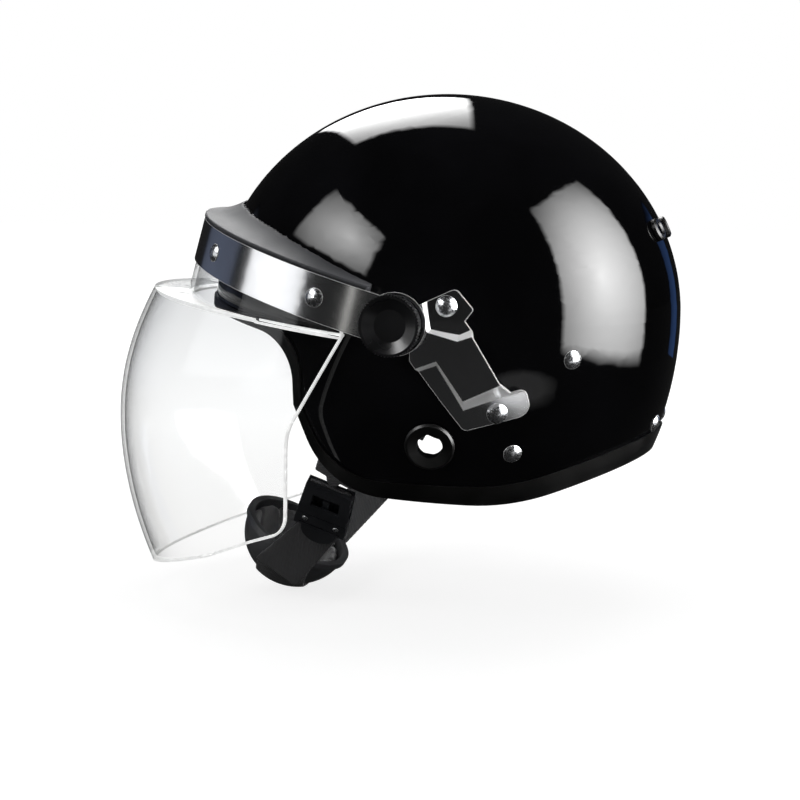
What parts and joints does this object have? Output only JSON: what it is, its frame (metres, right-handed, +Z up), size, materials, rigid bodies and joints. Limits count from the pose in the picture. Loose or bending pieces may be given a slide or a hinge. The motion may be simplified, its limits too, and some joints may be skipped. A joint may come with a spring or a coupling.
{
  "type": "riot helmet with face shield",
  "caption": "Hard-shell helmet with a clear bubble face shield that tilts on knob-clamped pivots, a steel brow band, a padded lining and a buckled chin cup.",
  "frame": {"origin": "the point of the crown lining that rests on top of the wearer's head, in the middle plane", "axes": "front towards -X, wearer's left towards -Y, +Z up"},
  "size_m": [0.3436, 0.2796, 0.302],
  "materials": {
    "shell": "high-gloss black moulded shell",
    "trim": "satin black rubber",
    "foam": "dark moulded foam",
    "lining": "black knit over soft foam",
    "rivet": "satin steel",
    "washer": "plain steel",
    "bracket": "polished stainless steel",
    "webbing": "black woven webbing",
    "band": "polished stainless strip",
    "visor": "clear polycarbonate",
    "seal": "satin black rubber",
    "knob": "black moulded plastic",
    "buckle": "black moulded plastic",
    "cup": "black moulded plastic"
  },
  "bodies": {
    "shell": {"outer_shell": "shell", "edge_trim": "trim", "foam_liner_left": "foam", "foam_liner_right": "foam", "crown_pad": "lining", "brow_pad": "lining", "cheek_pad_left": "lining", "cheek_pad_right": "lining", "neck_pad": "lining", "ear_grommets": "trim", "vent_grommets": "trim", "shell_rivets": "rivet", "rivet_washers": "washer", "bracket_left": "bracket", "bracket_right": "bracket", "bracket_bolts": "rivet", "pivot_stud_left": "washer", "pivot_stud_right": "washer", "pivot_washers": "washer", "friction_springs": "washer", "upper_strap_left": "webbing", "upper_strap_right": "webbing"},
    "shield": {"shield_band": "band", "band_rivets": "rivet", "visor": "visor", "brow_seal": "seal"},
    "left_knob": {"knob_left": "knob"},
    "right_knob": {"knob_right": "knob"},
    "chin_strap": {"lower_strap_left": "webbing", "lower_strap_right": "webbing", "buckle_socket": "buckle", "clip_web": "webbing", "chin_cup": "cup", "chin_pad": "lining", "chin_web": "webbing", "slider_web": "webbing", "strap_slider": "buckle"},
    "clip": {"buckle_clip": "buckle", "arm_pins": "washer", "release_tab": "buckle"},
    "front_arm": {"buckle_arm_front": "buckle"},
    "rear_arm": {"buckle_arm_rear": "buckle"}
  },
  "joints": [
    {"name": "shield_tilt", "type": "hinge", "parent": "shell", "child": "shield", "pos_m": [0, 0, -0.0849], "axis": [0, 1, 0], "range_deg": [0, 60]},
    {"name": "knob_turn_left", "type": "hinge", "parent": "shell", "child": "left_knob", "pos_m": [0, -0.134, -0.0849], "axis": [0, 1, 0], "range_deg": [0, 180]},
    {"name": "knob_turn_right", "type": "hinge", "parent": "shell", "child": "right_knob", "pos_m": [0, 0.134, -0.0849], "axis": [0, -1, 0], "range_deg": [0, 180]},
    {"name": "chin_swing", "type": "hinge", "parent": "shell", "child": "chin_strap", "pos_m": [-0.046, 0, -0.1779], "axis": [0, 1, 0], "range_deg": [-20, 20]},
    {"name": "buckle_slide", "type": "slide", "parent": "chin_strap", "child": "clip", "axis": [-0.3495, 0.5493, -0.759], "range_m": [0, 0.018], "deforming": ["clip_web"]},
    {"name": "arm_squeeze_front", "type": "hinge", "parent": "clip", "child": "front_arm", "pos_m": [-0.06751, -0.06673, -0.20222], "axis": [0.1165, 0.8293, 0.5465], "range_deg": [0, 14]},
    {"name": "arm_squeeze_rear", "type": "hinge", "parent": "clip", "child": "rear_arm", "pos_m": [-0.04963, -0.06481, -0.20895], "axis": [-0.1165, -0.8293, -0.5465], "range_deg": [0, 14]}
  ],
  "couplings": [
    {"joint": "arm_squeeze_front", "follows": "buckle_slide", "rad_per_m": 13.57},
    {"joint": "arm_squeeze_rear", "follows": "buckle_slide", "rad_per_m": 13.57}
  ]
}
